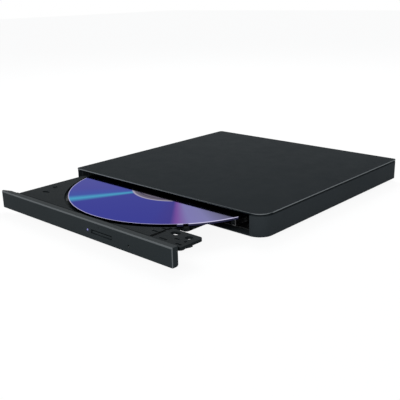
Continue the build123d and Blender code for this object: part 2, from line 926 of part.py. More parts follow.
# Front panel: the pieces
flange_front = bezel_skin + running_gap
button_left = button_centre - button_width / 2
button_right = button_centre + button_width / 2
slot_low = case_bottom + button_low
with BuildPart() as bezel:
    with BuildSketch(level(bezel_bottom)):
        with BuildLine():
            Polyline(
                (bezel_left, tray_y(0)),
                (bezel_right, tray_y(0)),
                (bezel_right, tray_y(bezel_depth)),
                (bezel_left + bezel_slant_width, tray_y(bezel_depth)),
                (bezel_left, tray_y(bezel_depth - bezel_slant_depth)),
                close=True,
            )
        make_face()
    extrude(amount=bezel_height)
    fillet(faces().sort_by(Axis.Y)[0].edges().sort_by(Axis.Z)[-1], bezel_edge)
    low_left = edges().filter_by(Axis.Y).sort_by_distance((bezel_left, tray_y(0), bezel_bottom))[0]
    fillet(low_left, 1.2)
    back_right = (bezel_right, tray_y(bezel_depth), bezel_bottom)
    chamfer(edges().filter_by(Axis.Z).sort_by_distance(back_right)[0], bezel_end_cut)
    block(
        cross_section(tray_y(bezel_depth)),
        (bezel_left + bezel_slant_width + bezel_rim, bezel_right - 2 * bezel_rim),
        (bezel_bottom + bezel_rim, bezel_bottom + bezel_height - bezel_rim),
        bezel_depth - bezel_skin,
        Mode.SUBTRACT,
    )
    block(
        cross_section(tray_y(bezel_skin)),
        (button_left - button_gap, button_right + button_gap),
        (slot_low - button_gap, slot_low + button_height + button_gap),
        bezel_skin,
        Mode.SUBTRACT,
    )
    for x, height, radius in (
        (lamp_x, lamp_height, lamp_radius + 0.02), (pin_hole_x, pin_hole_height, pin_hole_radius)
    ):
        pegs(
            cross_section(tray_y(bezel_skin)),
            [(x, case_bottom + height)],
            radius,
            bezel_skin,
            Mode.SUBTRACT,
        )
    for x in hook_points:
        block(
            cross_section(tray_y(bezel_depth + hook_reach)),
            (x - hook_width / 2, x + hook_width / 2),
            (hook_low, hook_low + hook_height),
            bezel_depth - bezel_skin + hook_reach,
        )
bezel.part.label = "bezel"
export_step(bezel.part, "parts/bezel.step")

with BuildPart() as eject_button:
    block(
        cross_section(tray_y(flange_front)),
        (button_left, button_right),
        (slot_low, slot_low + button_height),
        flange_front,
    )
    fillet(faces().sort_by(Axis.Y)[0].edges(), 0.15)
    block(
        cross_section(tray_y(flange_front + button_flange_thickness)),
        (button_left - button_flange, button_right + button_flange),
        (slot_low - button_flange, slot_low + button_height + button_flange),
        button_flange_thickness,
    )
eject_button.part.label = "eject_button"
export_step(eject_button.part, "parts/eject_button.step")

with BuildPart() as light_pipe:
    pegs(
        cross_section(tray_y(bezel_depth + front_wall)),
        [(lamp_x, case_bottom + lamp_height)],
        lamp_radius,
        bezel_depth + front_wall,
    )
light_pipe.part.label = "light_pipe"
export_step(light_pipe.part, "parts/light_pipe.step")

with BuildPart() as button_board:
    block(
        cross_section(tray_y(bezel_depth + front_wall + 1.0)),
        (lamp_x - 6.0, switch_x + 12.0),
        (case_bottom + 2.9, well_under - 0.2),
        1.0,
    )
    block(
        cross_section(tray_y(bezel_depth + front_wall)),
        (switch_x - 1.9, switch_x + 1.9),
        (case_bottom + 3.7, case_bottom + 6.4),
        front_wall - 0.05,
    )
button_board.part.label = "button_board"
export_step(button_board.part, "parts/button_board.step")

# Spindle: the pieces
stator_radius = 9.2
tube_radius = 2.4
bell_top = flange_bottom - 0.9
bell_bottom = bell_top - bell_low
pole_height = 1.0
with BuildPart() as spindle_stator:
    pegs(carriage_plane(plate_top), [(0, 0)], stator_radius, 1.1, sides=18)
    pegs(
        carriage_plane(plate_top), [(0, 0)], tube_radius,
        bell_top - bell_wall - 0.2 - plate_top, sides=12,
    )
    with BuildSketch(carriage_plane(plate_top + 1.1)):
        with PolarLocations(5.4, 9):
            Rectangle(6.4, 1.6)
    extrude(amount=pole_height)
    pegs(carriage_plane(plate_top), [(0, 0)], shaft_radius + shaft_gap, bell_top, Mode.SUBTRACT)
spindle_stator.part.label = "spindle_stator"
export_step(spindle_stator.part, "parts/spindle_stator.step")

with BuildPart() as turntable:
    with BuildSketch(Plane(origin=(disc_x, disc_y, 0), x_dir=(1, 0, 0), z_dir=(0, -1, 0))):
        with BuildLine():
            Polyline(
                (0, plate_top + 0.1), (shaft_radius, plate_top + 0.1),
                (shaft_radius, bell_top - bell_wall), (bell_radius - bell_wall, bell_top - bell_wall),
                (bell_radius - bell_wall, bell_bottom), (bell_radius, bell_bottom),
                (bell_radius, flange_bottom), (flange_radius, flange_bottom),
                (flange_radius, disc_bottom),
                (hub_radius, disc_bottom), (hub_radius, disc_bottom + hub_height - 0.6),
                (hub_radius - 0.6, disc_bottom + hub_height), (0, disc_bottom + hub_height),
                close=True,
            )
        make_face()
    revolve(axis=Axis((disc_x, disc_y, 0), (0, 0, 1)))
    with BuildSketch(Plane(origin=(disc_x, disc_y, disc_bottom + 0.2))):
        with PolarLocations(6.0, 3):
            Rectangle(4.0, 2.3)
    extrude(amount=hub_height, mode=Mode.SUBTRACT)
turntable.part.label = "turntable"
export_step(turntable.part, "parts/turntable.step")

with BuildPart() as clamp_claws:
    for angle in (0, 120, 240):
        direction = (cos(radians(angle)), sin(radians(angle)), 0)
        across = (sin(radians(angle)), -cos(radians(angle)), 0)
        with BuildSketch(Plane(origin=(disc_x, disc_y, 0), x_dir=direction, z_dir=across)):
            with BuildLine():
                Polyline(
                    (4.0, disc_bottom + 0.2), (hub_radius - 0.2, disc_bottom + 0.2),
                    (hub_radius - 0.2, disc_top + 0.02), (disc_bore + 0.45, disc_top + 0.02),
                    (disc_bore + 0.1, disc_bottom + hub_height - 0.2),
                    (4.0, disc_bottom + hub_height - 0.1), close=True,
                )
            make_face()
        extrude(amount=1.0, both=True)
clamp_claws.part.label = "clamp_claws"
export_step(clamp_claws.part, "parts/clamp_claws.step")

with BuildPart() as disc:
    with BuildSketch(Plane(origin=(disc_x, disc_y, 0), x_dir=(1, 0, 0), z_dir=(0, -1, 0))):
        with BuildLine():
            Polyline(
                (disc_bore, disc_bottom), (disc_radius, disc_bottom), (disc_radius, disc_top),
                (disc_bore, disc_top), close=True,
            )
        make_face()
    revolve(axis=Axis((disc_x, disc_y, 0), (0, 0, 1)))
disc.part.label = "disc"
export_step(disc.part, "parts/disc.step")

# Pickup carriage: the pieces
inner_lug = (rod_start - 0.2, rod_start + 2.2)
outer_lug = (rod_end - 2.4, rod_end)
sled_bottom = plate_top + 0.3
sled_height = 2.6
sled_top = sled_bottom + sled_height
sled_low = pickup_rest - pickup_inward
sled_high = pickup_rest + pickup_outward
bearing_half = 2.4

with BuildPart() as traverse_base:
    with BuildSketch(carriage_plane(plate_bottom)):
        with BuildLine():
            Polyline(
                (-15.0, -25.0), (52.0, -25.0), (rod_end + 0.2, -15.0), (rod_end + 0.2, 17.0),
                (60.0, 22.5), (-15.0, 22.5), close=True,
            )
        make_face()
        with Locations((42.0, 0)):
            Rectangle(44.0, 2 * (rod_side - bearing_half) - 1.0, mode=Mode.SUBTRACT)
        with Locations(((motor_start + motor_end) / 2, -screw_side)):
            Rectangle(motor_end - motor_start + 0.4, 2 * motor_radius + 0.8, mode=Mode.SUBTRACT)
        with Locations(*carriage_bosses):
            RegularPolygon(screw_hole - 0.3, 6, mode=Mode.SUBTRACT)
    extrude(amount=base_plate_thickness)
    for start, end in (inner_lug, outer_lug):
        for side in (-rod_side, rod_side):
            block(carriage_plane(plate_top), (start, end), (side - 1.8, side + 1.8), 3.0)
    block(
        carriage_plane(plate_top),
        (screw_end + 0.5, screw_end + 2.3), (-screw_side - 1.0, -screw_side + 1.0), 2.6,
    )
    rod_bore_plane = Plane(
        origin=carriage_plane(rod_axis).from_local_coords((0, 0, 0)),
        x_dir=(1, -1, 0),
        z_dir=(-1, -1, 0),
    )
    with BuildSketch(rod_bore_plane):
        with Locations((-rod_side, 0), (rod_side, 0)):
            Circle(rod_radius + 0.02)
        with Locations((-screw_side, 0)):
            Circle(journal_radius + journal_gap)
    extrude(amount=rod_end + 2, mode=Mode.SUBTRACT)
traverse_base.part.label = "traverse_base"
export_step(traverse_base.part, "parts/traverse_base.step")

with BuildPart() as guide_rods:
    with BuildSketch(rod_bore_plane.offset(rod_start)):
        with Locations((-rod_side, 0), (rod_side, 0)):
            Circle(rod_radius)
    extrude(amount=rod_end - rod_start)
guide_rods.part.label = "guide_rods"
export_step(guide_rods.part, "parts/guide_rods.step")

with BuildPart() as pickup_sled:
    block(carriage_plane(sled_bottom), (sled_low, sled_high), (-pickup_half, pickup_half), sled_height)
    for start, end in ((sled_low, sled_low + 6), (sled_high - 6, sled_high)):
        for near, far in (
            (pickup_half - 0.1, rod_side + bearing_half), (-rod_side - bearing_half, 0.1 - pickup_half)
        ):
            block(carriage_plane(sled_bottom), (start, end), (near, far), sled_height)
    block(
        carriage_plane(sled_bottom),
        (pickup_rest - 2.5, pickup_rest + 2.5),
        (-screw_side + screw_radius + running_gap, -pickup_half + 1),
        sled_height,
    )
    with BuildSketch(rod_bore_plane):
        with Locations((-rod_side, 0), (rod_side, 0)):
            Circle(rod_radius + rod_bore_gap)
    extrude(amount=rod_end + 2, mode=Mode.SUBTRACT)
    block(
        carriage_plane(sled_bottom + 0.9),
        (pickup_rest - lens_half - 0.4, pickup_rest + lens_half + 0.4),
        (-lens_half - 0.4, lens_half + 0.4),
        2.6,
        Mode.SUBTRACT,
    )
pickup_sled.part.label = "pickup_sled"
export_step(pickup_sled.part, "parts/pickup_sled.step")

with BuildPart() as pickup_board:
    block(
        carriage_plane(sled_top),
        (sled_low + 0.5, sled_low + 7.5),
        (-pickup_half + 1, pickup_half - 1),
        0.2,
    )
pickup_board.part.label = "pickup_board"
export_step(pickup_board.part, "parts/pickup_board.step")

holder_bottom = sled_bottom + 1.35
holder_top = holder_bottom + 2.05
with BuildPart() as lens_holder:
    block(
        carriage_plane(holder_bottom),
        (pickup_rest - lens_half, pickup_rest + lens_half),
        (-lens_half, lens_half),
        holder_top - holder_bottom,
    )
    pegs(carriage_plane(holder_top - 0.7), [(pickup_rest, 0)], 1.55, 0.7, Mode.SUBTRACT)
lens_holder.part.label = "lens_holder"
export_step(lens_holder.part, "parts/lens_holder.step")

with BuildPart() as lens:
    pegs(carriage_plane(holder_top - 0.7), [(pickup_rest, 0)], 1.5, 0.65)
    chamfer(faces().sort_by(Axis.Z)[-1].edges(), 0.3)
lens.part.label = "lens"
export_step(lens.part, "parts/lens.step")

with BuildPart() as lead_screw:
    for start, end, radius in (
        (-7.5, -0.5, journal_radius),
        (-0.5, screw_end, screw_radius),
        (screw_end, screw_end + 2.2, journal_radius),
    ):
        with BuildSketch(rod_bore_plane.offset(start)):
            with Locations((-screw_side, 0)):
                Circle(radius)
        extrude(amount=end - start)
lead_screw.part.label = "lead_screw"
export_step(lead_screw.part, "parts/lead_screw.step")

with BuildPart() as sled_motor:
    with BuildSketch(rod_bore_plane.offset(motor_start)):
        with Locations((-screw_side, 0)):
            Circle(motor_radius)
    extrude(amount=motor_end - motor_start)
    block(
        carriage_plane(plate_top),
        (motor_end, motor_end + 0.7),
        (-screw_side - 2.5, -screw_side + 2.5),
        3.0,
    )
    with BuildSketch(rod_bore_plane.offset(-8.0)):
        with Locations((-screw_side, 0)):
            Circle(journal_radius + journal_gap)
    extrude(amount=8.0, mode=Mode.SUBTRACT)
sled_motor.part.label = "sled_motor"
export_step(sled_motor.part, "parts/sled_motor.step")

with BuildPart() as window_plate:
    with BuildSketch(carriage_plane(well_floor - window_sheet)):
        floor_window(cutout_half + recess_margin, cutout_round + recess_margin, window_reach)
        Circle(window_hole, mode=Mode.SUBTRACT)
        with Locations(((19.0 + window_reach - 1.1) / 2, 0)):
            Rectangle(window_reach - 1.1 - 19.0, 2 * (lens_half + 0.6), mode=Mode.SUBTRACT)
    extrude(amount=window_sheet)
window_plate.part.label = "window_plate"
export_step(window_plate.part, "parts/window_plate.step")

cover_low = chassis_floor + 0.3
under_sheet = 0.4
cover_front = 5.4
with BuildPart() as tray_bottom_cover:
    with BuildSketch(level(cover_low)):
        with Locations(
            ((tray_left + tray_wall + rib_x + 1.5) / 2, (tray_y(cover_front) + tray_y(rib_back)) / 2)
        ):
            Rectangle(rib_x + 1.5 - tray_left - tray_wall, rib_back - cover_front)
        with Locations((-10.0, tray_y(98.0)), (14.0, tray_y(98.0)), (14.0, tray_y(20.0))):
            Rectangle(16.0, 4.0, mode=Mode.SUBTRACT)
    extrude(amount=under_sheet)
    block(
        level(cover_low),
        (tray_left + tray_wall, tray_left + tray_wall + under_sheet),
        (tray_y(2 * cover_front), tray_y(rib_back)),
        3.0,
    )
tray_bottom_cover.part.label = "tray_bottom_cover"
export_step(tray_bottom_cover.part, "parts/tray_bottom_cover.step")

with BuildPart() as tray_screws:
    pegs(carriage_plane(plate_bottom - 0.25), carriage_bosses, 1.5, 0.25, sides=12)
    pegs(carriage_plane(plate_bottom), carriage_bosses, 0.6, base_plate_thickness + 2.0, sides=6)
tray_screws.part.label = "tray_screws"
export_step(tray_screws.part, "parts/tray_screws.step")

# Latch: a lever under the ear that hooks behind the post when the tray is shut
post_x = latch_x - post_reach
with BuildPart() as latch_post:
    pegs(
        level(chassis_floor),
        [(post_x, case_y(post_from_front))],
        post_radius,
        lever_bottom + lever_thickness + 1.5 - chassis_floor,
    )
    pegs(level(chassis_floor), [(post_x, case_y(post_from_front))], post_radius + 0.6, 0.5, sides=8)
latch_post.part.label = "latch_post"
export_step(latch_post.part, "parts/latch_post.step")

lever_plane = Plane(
    origin=(latch_x, tray_y(latch_from_front), lever_bottom),
    x_dir=(cos(radians(latch_release)), -sin(radians(latch_release)), 0),
    z_dir=(0, 0, 1),
)
hook_offset = post_from_front - latch_from_front + post_radius + running_gap
with BuildPart() as latch_lever:
    with BuildSketch(lever_plane):
        Circle(latch_hub)
        with BuildLine():
            Polyline(
                (-1.0, 0), (1.6, 0), (0.4, hook_offset + 1.6),
                (-post_reach - 0.8, hook_offset + 1.6), (-post_reach - 0.2, hook_offset),
                (-1.4, hook_offset), (-1.4, 2.0), close=True,
            )
        make_face()
    extrude(amount=lever_thickness)
    with BuildSketch(lever_plane):
        Circle(latch_hub)
    extrude(amount=tray_under - lever_bottom - 0.2)
    with BuildSketch(lever_plane):
        Circle(latch_pin_radius + latch_bore_gap)
    extrude(amount=tray_height, mode=Mode.SUBTRACT)
latch_lever.part.label = "latch_lever"
export_step(latch_lever.part, "parts/latch_lever.step")

solenoid_length = 9.0
solenoid_back = 13.0
solenoid_height = 4.4
solenoid_right = notch_end - 2.0
plunger_length = 10.0
with BuildPart() as latch_solenoid:
    block(
        cross_section(tray_y(solenoid_back)),
        (solenoid_right - solenoid_length, solenoid_right),
        (tray_under - solenoid_height, tray_under),
        solenoid_back - bezel_depth - front_wall - 0.2,
    )
    with BuildSketch(Plane(
        origin=(solenoid_right, tray_y(latch_from_front + 0.6), tray_under - solenoid_height / 2),
        x_dir=(0, 1, 0),
        z_dir=(1, 0, 0),
    )):
        Circle(0.9)
    extrude(amount=plunger_length)
latch_solenoid.part.label = "latch_solenoid"
export_step(latch_solenoid.part, "parts/latch_solenoid.step")
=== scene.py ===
# %% [markdown]
# A slim disc drive with its tray drawn out. Most shapes come from the CAD model, where every piece
# has its real size. Blender adds the look: black moulded plastics of several finishes, a mirror
# disc that splits light into colours, a few metal parts, and more detail on some of the mouldings.
# The first cell loads the model and its record.

# %% Load the drive
import json
import math

import bmesh
import bpy
from mathutils import Matrix, Vector


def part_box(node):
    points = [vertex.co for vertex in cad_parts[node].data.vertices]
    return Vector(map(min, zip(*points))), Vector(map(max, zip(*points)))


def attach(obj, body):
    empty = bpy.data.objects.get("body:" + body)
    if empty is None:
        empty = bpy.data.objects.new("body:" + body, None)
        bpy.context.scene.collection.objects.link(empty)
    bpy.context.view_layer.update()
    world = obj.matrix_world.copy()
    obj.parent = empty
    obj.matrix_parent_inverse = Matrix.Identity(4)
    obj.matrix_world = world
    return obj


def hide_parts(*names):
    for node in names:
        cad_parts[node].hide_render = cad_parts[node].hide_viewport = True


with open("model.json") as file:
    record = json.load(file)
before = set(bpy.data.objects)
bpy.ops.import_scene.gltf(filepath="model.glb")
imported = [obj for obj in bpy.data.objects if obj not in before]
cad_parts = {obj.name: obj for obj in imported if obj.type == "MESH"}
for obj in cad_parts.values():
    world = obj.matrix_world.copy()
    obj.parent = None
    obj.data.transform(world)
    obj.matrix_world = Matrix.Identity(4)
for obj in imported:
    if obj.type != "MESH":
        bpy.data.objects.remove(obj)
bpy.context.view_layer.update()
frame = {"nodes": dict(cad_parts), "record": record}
nodes = frame["nodes"]
print("pieces from the CAD model:", len(nodes))

# %% [markdown]
# The camera looks at the front right corner from a little above. A product photographer would
# stand about 38 cm away with a short telephoto lens. Azimuth is counted from straight in front,
# elevation from the table, and the small roll is the tilt of the picture itself.

# %% Camera
scene = bpy.context.scene
azimuth, elevation, roll = math.radians(42.88), math.radians(17.91), math.radians(-1.42)
camera_place, focal_length, sensor_width = (0.24514, -0.27215, 0.11542), 57.918, 36.0
back = Vector((
    math.sin(azimuth) * math.cos(elevation),
    -math.cos(azimuth) * math.cos(elevation),
    math.sin(elevation),
))
level_right = Vector((math.cos(azimuth), math.sin(azimuth), 0.0))
level_up = back.cross(level_right)
right = math.cos(roll) * level_right + math.sin(roll) * level_up
up = math.cos(roll) * level_up - math.sin(roll) * level_right
camera = bpy.data.objects.new("camera", bpy.data.cameras.new("camera"))
camera.data.sensor_width = sensor_width
camera.data.lens = focal_length
camera.data.clip_start = 0.01
camera.data.clip_end = 20.0
turn = Matrix((right, up, back)).transposed().to_4x4()
camera.matrix_world = Matrix.Translation(camera_place) @ turn
scene.collection.objects.link(camera)
scene.camera = camera
print("camera stands", round(camera.location.length, 3), "m from the middle of the drive")

# %% [markdown]
# The drive stands in white surroundings. As a lamp, so much white would turn the black plastic
# grey. So they are white only where the camera, a reflection or a view through glass meets them.
# This helper tells those rays from the ones that light the drive, for the room and the floor.

# %% Helper for the rays that see the white
def seen_directly(tree):
    """1 for rays from the camera, a reflection or a view through glass, and 0 for the light."""
    rays = tree.nodes.new("ShaderNodeLightPath")
    total = rays.outputs["Is Camera Ray"]
    for kind in ("Is Glossy Ray", "Is Transmission Ray"):
        added = tree.nodes.new("ShaderNodeMath")
        added.operation = "ADD"
        added.use_clamp = True
        tree.links.new(total, added.inputs[0])
        tree.links.new(rays.outputs[kind], added.inputs[1])
        total = added.outputs[0]
    return total


print("helper ready:", seen_directly.__name__)

# %% [markdown]
# The room lights the drive at a plain, soft level with a trace of blue, as a large window would.

# %% Surroundings
scene.view_settings.view_transform = "Standard"
room_colour, room_light = (0.9, 0.95, 1.0, 1.0), 0.55
world = bpy.data.worlds.new("studio")
scene.world = world
world.use_nodes = True
tree = world.node_tree
tree.nodes.clear()
soft = tree.nodes.new("ShaderNodeBackground")
soft.inputs["Color"].default_value = room_colour
soft.inputs["Strength"].default_value = room_light
white = tree.nodes.new("ShaderNodeBackground")
white.inputs["Color"].default_value = (1.0, 1.0, 1.0, 1.0)
white.inputs["Strength"].default_value = 1.0
choose = tree.nodes.new("ShaderNodeMixShader")
tree.links.new(seen_directly(tree), choose.inputs[0])
tree.links.new(soft.outputs[0], choose.inputs[1])
tree.links.new(white.outputs[0], choose.inputs[2])
room_output = tree.nodes.new("ShaderNodeOutputWorld")
tree.links.new(choose.outputs[0], room_output.inputs["Surface"])
print("the studio lights the drive at", room_light)

# %% [markdown]
# Two large soft lamps do the rest. One hangs high beyond the left back corner, so that the cover
# grows darker towards the front right. A weaker one stands in front and a little to the right,
# for the long front panel and the rounded corner.

# %% Lamps
def soft_lamp(name, place, aim, width, watts):
    lamp = bpy.data.objects.new(name, bpy.data.lights.new(name, "AREA"))
    lamp.data.shape = "SQUARE"
    lamp.data.size = width
    lamp.data.energy = watts
    lamp.location = place
    lamp.rotation_euler = (Vector(aim) - Vector(place)).to_track_quat("-Z", "Y").to_euler()
    scene.collection.objects.link(lamp)
    return lamp


overhead = soft_lamp("overhead_lamp", (-0.3, 0.32, 0.6), (0.0, 0.0, 0.0), width=0.4, watts=3.8)
front_lamp = soft_lamp("front_lamp", (0.25, -0.75, 0.3), (0.0, -0.05, 0.0), width=0.5, watts=3.0)
print("lamps:", overhead.data.energy, "W above,", front_lamp.data.energy, "W in front")

# %% [markdown]
# The floor is a plain pale sheet. For the camera it is mostly its own white, so the picture has
# no horizon, and the rest is an ordinary matt surface that keeps a faint shadow under the drive.

# %% Floor
reach, own_share, own_level = 3.0, 0.9, 1.02
floor_mesh = bpy.data.meshes.new("floor")
floor_mesh.from_pydata(
    [(-reach, -reach, 0), (reach, -reach, 0), (reach, reach, 0), (-reach, reach, 0)],
    [], [(0, 1, 2, 3)],
)
floor = bpy.data.objects.new("floor", floor_mesh)
scene.collection.objects.link(floor)
paper = bpy.data.materials.new("pale_floor")
paper.use_nodes = True
tree = paper.node_tree
tree.nodes.clear()
share = tree.nodes.new("ShaderNodeMath")
share.operation = "MULTIPLY"
share.inputs[1].default_value = own_share
tree.links.new(seen_directly(tree), share.inputs[0])
matt = tree.nodes.new("ShaderNodeBsdfDiffuse")
matt.inputs["Color"].default_value = (0.8, 0.8, 0.8, 1.0)
own_white = tree.nodes.new("ShaderNodeEmission")
own_white.inputs["Strength"].default_value = own_level
blend = tree.nodes.new("ShaderNodeMixShader")
tree.links.new(share.outputs[0], blend.inputs[0])
tree.links.new(matt.outputs[0], blend.inputs[1])
tree.links.new(own_white.outputs[0], blend.inputs[2])
floor_output = tree.nodes.new("ShaderNodeOutputMaterial")
tree.links.new(blend.outputs[0], floor_output.inputs["Surface"])
floor_mesh.materials.append(paper)
print("floor is", 2 * reach, "m wide")

# %% [markdown]
# Every finish is built from a few steps: noise on the piece's own coordinates, so that the pattern
# stays on the piece when it moves, a colour ramp over a value, a value brought into another range,
# and two colours mixed by a share. One small helper makes each of them.

# %% Helpers for tones
def place_of(tree):
    return tree.nodes.new("ShaderNodeTexCoord").outputs["Object"]


def noise(tree, scale):
    made = tree.nodes.new("ShaderNodeTexNoise")
    made.inputs["Scale"].default_value = scale
    made.inputs["Detail"].default_value = 2.0
    tree.links.new(place_of(tree), made.inputs["Vector"])
    return made.outputs["Fac"]


def ramp(tree, value, stops):
    """Colour that follows a value through (position, colour) stops."""
    made = tree.nodes.new("ShaderNodeValToRGB")
    while len(made.color_ramp.elements) < len(stops):
        made.color_ramp.elements.new(0.5)
    for element, (position, colour) in zip(made.color_ramp.elements, stops):
        element.position = position
        element.color = (*colour, 1.0)
    tree.links.new(value, made.inputs["Fac"])
    return made.outputs["Color"]


def number_range(tree, value, low, high, from_low=0.3, from_high=0.7):
    """Value brought from one range into another; the usual noise lies between 0.3 and 0.7."""
    made = tree.nodes.new("ShaderNodeMapRange")
    made.inputs["From Min"].default_value = from_low
    made.inputs["From Max"].default_value = from_high
    made.inputs["To Min"].default_value = low
    made.inputs["To Max"].default_value = high
    tree.links.new(value, made.inputs["Value"])
    return made.outputs["Result"]


def mixed(tree, share, first, second):
    """The first colour where the share is 0 and the second where it is 1."""
    made = tree.nodes.new("ShaderNodeMix")
    made.data_type = "RGBA"
    tree.links.new(share, made.inputs["Factor"])
    for value, socket in ((first, made.inputs["A"]), (second, made.inputs["B"])):
        if isinstance(value, tuple):
            socket.default_value = (*value, 1.0)
        else:
            tree.links.new(value, socket)
    return made.outputs["Result"]


print("tone helpers ready")

# %% [markdown]
# Almost every finish here is a moulded or a rolled surface: one colour with a little drift in it,
# a roughness that wanders slightly, a fine grain, and a painted highlight: a lighter edge colour
# that stands in for the lamp a rounded edge always catches. One helper builds that, and each
# finish gives its numbers. The painted highlight comes from the direction of the surface: a
# slanting face that looks up and outwards exists only on a bevelled or rounded edge, so its share
# is large there and nothing elsewhere.

# %% Helper for finishes
def shade(colour, factor):
    return tuple(min(1.0, channel * factor) for channel in colour)


def painted_highlight_share(tree, direction, low, high):
    """Painted highlight share: 1 where the surface faces this direction, as only a broken edge
    does; 0 on the flats.
    """
    geometry = tree.nodes.new("ShaderNodeNewGeometry")
    dot = tree.nodes.new("ShaderNodeVectorMath")
    dot.operation = "DOT_PRODUCT"
    dot.inputs[1].default_value = direction
    tree.links.new(geometry.outputs["Normal"], dot.inputs[0])
    return number_range(tree, dot.outputs["Value"], 0.0, 1.0, low, high)


def finish(name, colour, roughness, sheen_level=0.5, metal=0.0, drift=0.04, drift_scale=40.0,
           grain_scale=2500.0, grain_depth=0.00001, highlight_colour=None, highlight_faces=None):
    material = bpy.data.materials.new(name)
    material.use_nodes = True
    tree = material.node_tree
    shader = tree.nodes["Principled BSDF"]
    shader.inputs["Metallic"].default_value = metal
    shader.inputs["Specular IOR Level"].default_value = sheen_level
    cloud = noise(tree, drift_scale)
    tone = ramp(tree, cloud, [(0.3, shade(colour, 1 - drift)), (0.7, shade(colour, 1 + drift))])
    # The highlight colour is a painted highlight, mixed in on the edges that face the given
    # direction.
    if highlight_colour:
        tone = mixed(tree, painted_highlight_share(tree, *highlight_faces), tone, highlight_colour)
    tree.links.new(tone, shader.inputs["Base Color"])
    wander = number_range(tree, noise(tree, drift_scale * 3), roughness - 0.02, roughness + 0.02)
    tree.links.new(wander, shader.inputs["Roughness"])
    grain = tree.nodes.new("ShaderNodeBump")
    grain.inputs["Distance"].default_value = grain_depth
    grain.inputs["Strength"].default_value = 1.0
    tree.links.new(noise(tree, grain_scale), grain.inputs["Height"])
    tree.links.new(grain.outputs["Normal"], shader.inputs["Normal"])
    return material


print("helper ready:", finish.__name__)

# %% [markdown]
# The housing is black polystyrene with an even satin skin. Its sides and the flat cover come from
# different moulds, and the cover is darker and smoother. Their sheen level is set far below that
# of bare plastic, because the white studio would otherwise wash the black out at this low angle,
# and the thin light line along the rim is a painted highlight in the edge colour. On the housing
# and the tray only the upper edges get that painted highlight, and on the panel and the button the
# upright ones as well.

# %% Housing and panel plastics
# Directions and ranges for the painted highlight: on the upper edges only, or on the upright edges
# as well.
upper_edge_highlight = ((0.4, -0.4, 0.82), 0.835, 0.86)
all_edge_highlight = ((0.577, -0.577, 0.577), 0.65, 0.8)
finishes = {
    "case_plastic": finish(
        "satin_black_sides", (0.026, 0.031, 0.034), 0.5, 0.012,
        highlight_colour=(0.08, 0.086, 0.09), highlight_faces=upper_edge_highlight),
    "cover_plastic": finish(
        "satin_black_cover", (0.0074, 0.0107, 0.0128), 0.42, 0.006,
        highlight_colour=(0.15, 0.16, 0.165), highlight_faces=upper_edge_highlight),
    "panel_plastic": finish(
        "satin_black_panel", (0.020, 0.0245, 0.0265), 0.4, 0.015,
        highlight_colour=(0.11, 0.118, 0.122), highlight_faces=all_edge_highlight),
    "button_plastic": finish(
        "satin_black_button", (0.024, 0.029, 0.031), 0.4, 0.015,
        highlight_colour=(0.05, 0.055, 0.06), highlight_faces=all_edge_highlight),
    "tray_plastic": finish(
        "grained_black_tray", (0.012, 0.0145, 0.0157), 0.55, 0.01,
        grain_scale=4000.0, grain_depth=0.00002, highlight_colour=(0.04, 0.045, 0.047), highlight_faces=upper_edge_highlight),
}
print("black plastics:", len(finishes))

# %% [markdown]
# The metals: rolled sheet and rails, which stand in the dark of the housing and whose colours are
# darkened here into painted shade, as the photograph shows them; ground pins and rods, black
# screws, the bright shell of the socket, the turned hub and the cast carriage. A rolled sheet has
# a coarse shallow grain, a ground rod a very fine one.

# %% Metals
# The sheet and rail colours are darkened as painted shade for the dark inside the housing.
finishes["sheet_steel"] = finish(
    "sheet_painted_shade", (0.05, 0.052, 0.054), 0.5, 0.3, metal=1.0, drift=0.1, drift_scale=90.0,
    grain_scale=900.0, grain_depth=0.000005)
finishes["rail_steel"] = finish(
    "rail_painted_shade", (0.06, 0.062, 0.064), 0.45, 0.3, metal=1.0, drift=0.08, drift_scale=60.0,
    grain_scale=1200.0, grain_depth=0.000004)
finishes["bright_steel"] = finish(
    "ground_steel", (0.6, 0.6, 0.61), 0.2, metal=1.0, drift=0.05, drift_scale=200.0,
    grain_scale=3000.0, grain_depth=0.000002)
finishes["screw_steel"] = finish("black_screws", (0.06, 0.06, 0.063), 0.35, metal=1.0)
finishes["socket_steel"] = finish("socket_shell", (0.66, 0.66, 0.65), 0.22, metal=1.0)
finishes["turntable_metal"] = finish("turned_alloy", (0.5, 0.5, 0.51), 0.3, metal=1.0)
finishes["sled_metal"] = finish(
    "die_cast_sled", (0.3, 0.3, 0.31), 0.5, metal=1.0, drift=0.15, drift_scale=500.0)
print("finishes so far:", len(finishes))

# %% [markdown]
# The small parts: rubber feet, black guides and nylon, the boards and what is soldered to them,
# the enamelled coils, the film of the ribbon and the black sheet round the lens window.

# %% Rubber, boards and small parts
finishes["foot_rubber"] = finish("foot_rubber", (0.012, 0.012, 0.012), 0.85, 0.1)
finishes["guide_plastic"] = finish("black_guide", (0.03, 0.031, 0.032), 0.45, 0.1)
finishes["claw_plastic"] = finish("black_nylon", (0.02, 0.02, 0.021), 0.5, 0.1)
finishes["board_green"] = finish(
    "board_green", (0.01, 0.035, 0.018), 0.5, 0.1, drift=0.2, drift_scale=300.0)
finishes["chip_black"] = finish("chip_epoxy", (0.018, 0.018, 0.019), 0.6, 0.2)
finishes["socket_plastic"] = finish("socket_plastic", (0.05, 0.048, 0.04), 0.5, 0.3)
finishes["ribbon"] = finish("ribbon_film", (0.03, 0.018, 0.01), 0.35, 0.1)
finishes["stator"] = finish(
    "coil_enamel", (0.18, 0.07, 0.03), 0.4, 0.4, drift=0.3, drift_scale=900.0)
finishes["window_sheet"] = finish("black_sheet", (0.02, 0.02, 0.021), 0.5, 0.1)
print("finishes so far:", len(finishes))

# %% [markdown]
# The lamp beside the button is a clear rod with a bluish glow, and the lens is clear glass.

